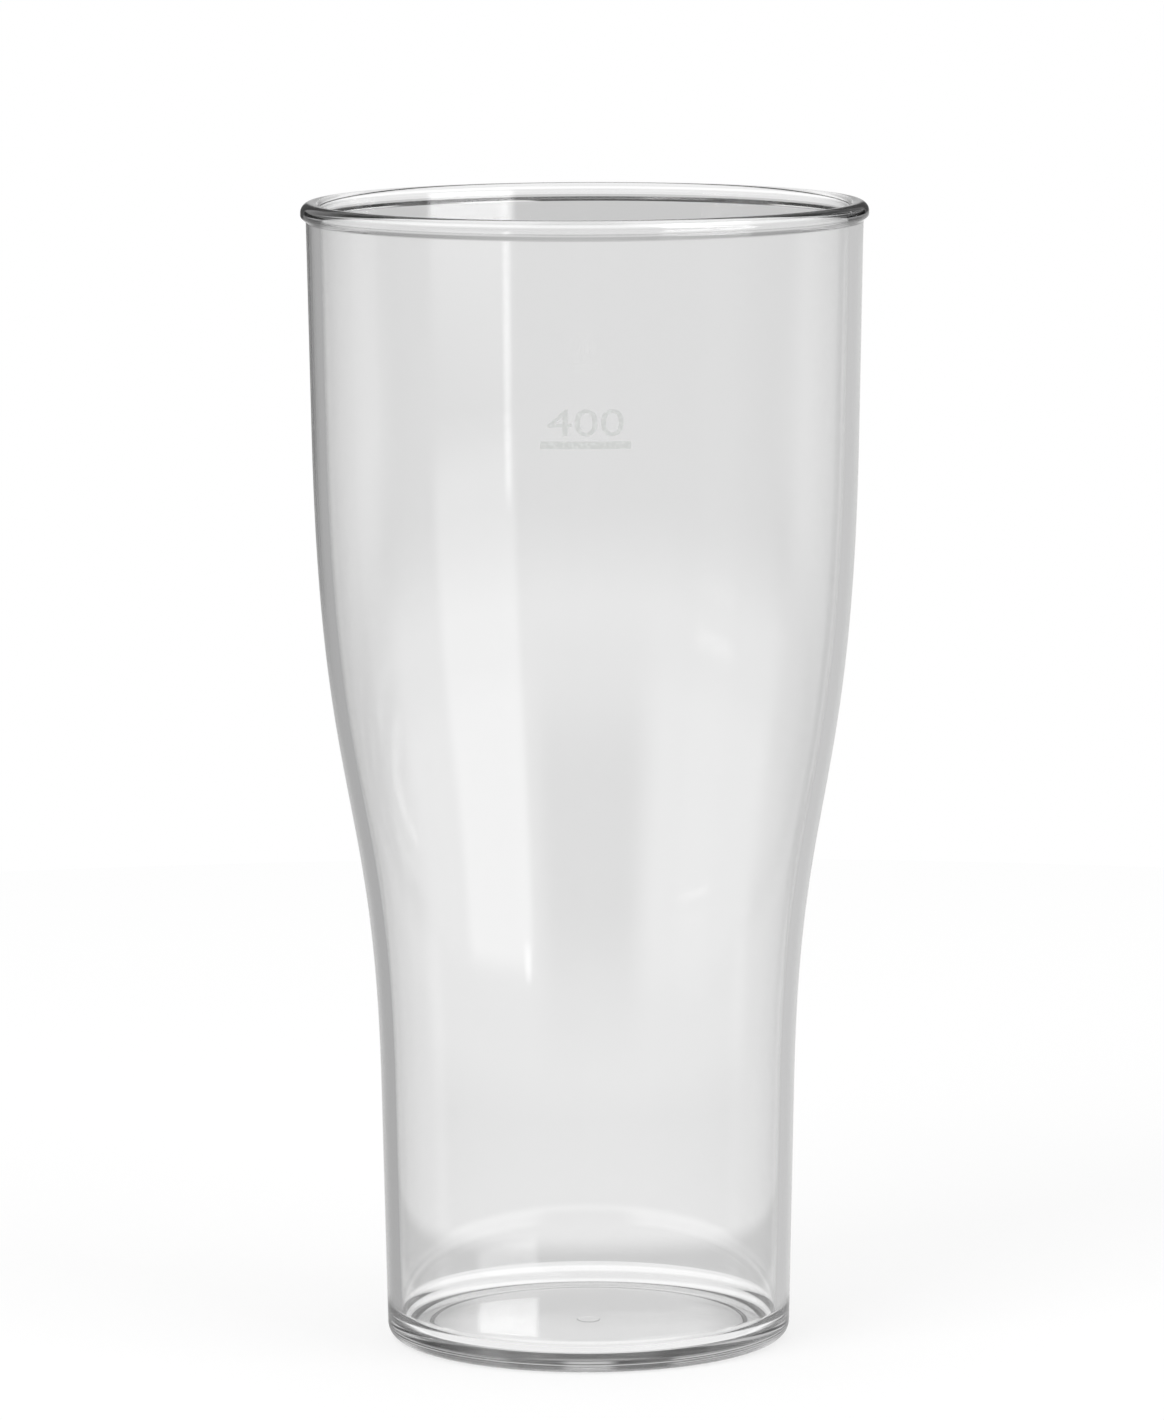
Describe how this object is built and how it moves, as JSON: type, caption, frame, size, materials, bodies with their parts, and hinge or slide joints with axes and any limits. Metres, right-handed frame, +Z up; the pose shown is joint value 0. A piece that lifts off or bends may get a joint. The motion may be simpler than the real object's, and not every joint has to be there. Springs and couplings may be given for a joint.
{
  "type": "drinking tumbler",
  "caption": "Clear plastic tulip-shaped drinking tumbler with a rounded lip, a drawn-in waist, a recessed base on a foot ring and a printed fill line.",
  "frame": {"origin": "centre of the base, on the plane of the foot ring that the cup stands on", "axes": "+Z up along the cup's axis towards the mouth, -Y towards the side that carries the fill line"},
  "size_m": [0.0804, 0.0804, 0.1628],
  "materials": {
    "clear_plastic": "clear, polished, colourless, with faint handling wear",
    "mark_ink": "thin pale grey print"
  },
  "bodies": {
    "root": {"cup_body": "clear_plastic", "fill_line": "mark_ink"}
  },
  "joints": []
}
